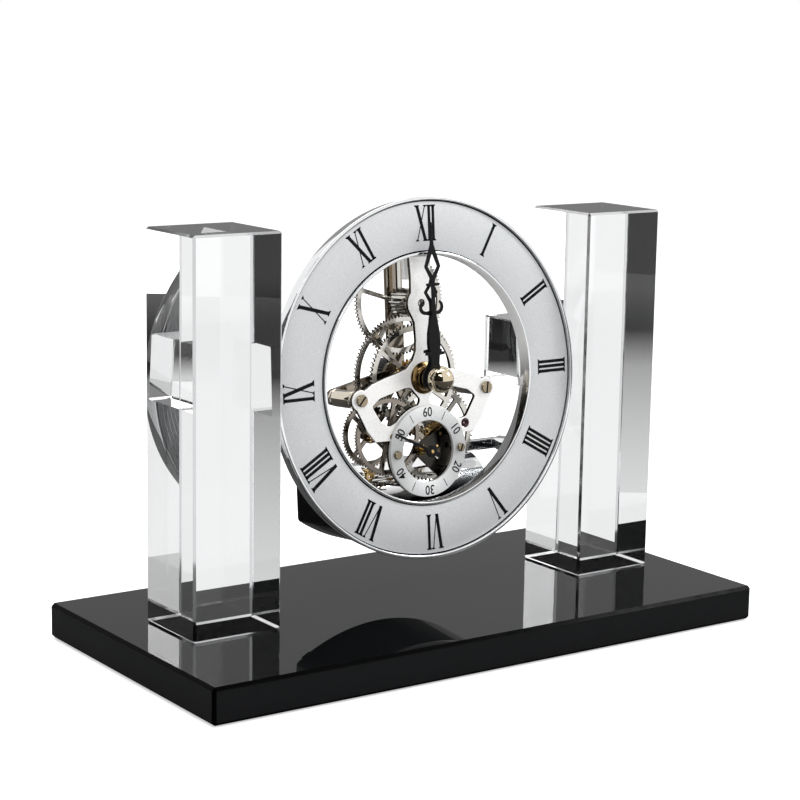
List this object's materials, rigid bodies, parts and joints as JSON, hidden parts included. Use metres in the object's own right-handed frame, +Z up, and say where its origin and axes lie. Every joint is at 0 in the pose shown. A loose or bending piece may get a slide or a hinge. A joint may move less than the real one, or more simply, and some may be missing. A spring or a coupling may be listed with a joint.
{
  "type": "desk clock",
  "caption": "Free-standing desk clock: a leaning skeleton movement with a Roman dial ring, hung between two clear columns on a flat black slab.",
  "frame": {"origin": "middle of the slab's underside", "axes": "+X to the right seen from the front, +Y to the rear, +Z up; the front faces -Y"},
  "size_m": [0.2, 0.1, 0.1364],
  "materials": {
    "black_glass": "polished black crystal",
    "crystal": "polished clear crystal",
    "chrome": "polished",
    "silver": "satin",
    "nickel": "polished nickel",
    "brass": "polished",
    "hand_black": "satin black",
    "black_plastic": "fine matte",
    "board_green": "solder mask",
    "copper": "enamelled wire",
    "cell_sleeve": "printed sleeve, bare of text",
    "ruby": "polished"
  },
  "bodies": {
    "frame": {"arm_screw": "chrome", "back_plate": "nickel", "base": "black_glass", "block_left": "crystal", "block_right": "crystal", "case_ring": "chrome", "centre_bushing": "brass", "circuit_board": "board_green", "clamp_bar": "chrome", "clamp_post": "chrome", "clamp_screw_inner": "chrome", "clamp_screw_outer": "chrome", "coil": "copper", "column_left": "crystal", "column_right": "crystal", "contact_minus": "nickel", "contact_plus": "nickel", "dial_ring": "silver", "drive_body": "black_plastic", "drive_case": "chrome", "dry_cell": "cell_sleeve", "ear_screw_left": "chrome", "ear_screw_right": "chrome", "front_plate": "nickel", "hanger_lug": "nickel", "hanger_screw_left": "chrome", "hanger_screw_right": "chrome", "jewel": "ruby", "pillar_left": "chrome", "pillar_right": "chrome", "pillar_top": "chrome", "rear_cover_ring": "chrome", "rear_screw_left": "chrome", "rear_screw_right": "chrome", "rear_screw_top": "chrome", "seconds_cock": "nickel", "seconds_ring": "silver", "seconds_ring_screw_left": "chrome", "seconds_ring_screw_right": "chrome", "stator": "nickel"},
    "minute": {"minute_arbor": "chrome", "ball_nut": "brass", "minute_hand": "hand_black", "cannon_pinion": "brass", "centre_wheel": "nickel", "set_knob": "black_plastic"},
    "hour": {"hour_tube": "brass", "hour_hand": "hand_black", "hour_wheel": "nickel"},
    "motion": {"motion_pinion": "brass", "motion_wheel": "nickel"},
    "cross": {"cross_pinion": "brass", "cross_wheel": "nickel", "seconds_drive_wheel": "nickel"},
    "seconds": {"seconds_arbor": "brass", "seconds_hand": "hand_black"},
    "top": {"top_pinion": "chrome", "top_wheel": "nickel"},
    "drive": {"drive_pinion": "brass"},
    "battery_door": {"battery_door": "black_plastic"}
  },
  "joints": [
    {"name": "minute_turn", "type": "hinge", "parent": "frame", "child": "minute", "pos_m": [0.002, -0.0071, 0.0808], "axis": [0, 0.9962, -0.0872], "continuous": true},
    {"name": "hour_turn", "type": "hinge", "parent": "frame", "child": "hour", "pos_m": [0.002, -0.0071, 0.0808], "axis": [0, 0.9962, -0.0872], "continuous": true},
    {"name": "motion_turn", "type": "hinge", "parent": "frame", "child": "motion", "pos_m": [0.01012, -0.00871, 0.06237], "axis": [0, 0.9962, -0.0872], "continuous": true},
    {"name": "cross_turn", "type": "hinge", "parent": "frame", "child": "cross", "pos_m": [-0.01046, -0.0086, 0.06362], "axis": [0, 0.9962, -0.0872], "continuous": true},
    {"name": "seconds_turn", "type": "hinge", "parent": "frame", "child": "seconds", "pos_m": [0.002, -0.00908, 0.05819], "axis": [0, 0.9962, -0.0872], "continuous": true},
    {"name": "top_turn", "type": "hinge", "parent": "frame", "child": "top", "pos_m": [0.002, -0.00509, 0.10376], "axis": [0, 0.9962, -0.0872], "continuous": true},
    {"name": "drive_turn", "type": "hinge", "parent": "frame", "child": "drive", "pos_m": [-0.01046, -0.00964, 0.05176], "axis": [0, 0.9962, -0.0872], "continuous": true},
    {"name": "battery_door_slide", "type": "slide", "parent": "frame", "child": "battery_door", "axis": [1, 0, 0], "range_m": [0, 0.02]}
  ],
  "couplings": [
    {"joint": "hour_turn", "follows": "minute_turn", "ratio": 0.083333},
    {"joint": "motion_turn", "follows": "minute_turn", "ratio": -0.33333},
    {"joint": "cross_turn", "follows": "minute_turn", "ratio": -8},
    {"joint": "seconds_turn", "follows": "minute_turn", "ratio": 60},
    {"joint": "top_turn", "follows": "minute_turn", "ratio": -4.5714},
    {"joint": "drive_turn", "follows": "minute_turn", "ratio": 48}
  ]
}
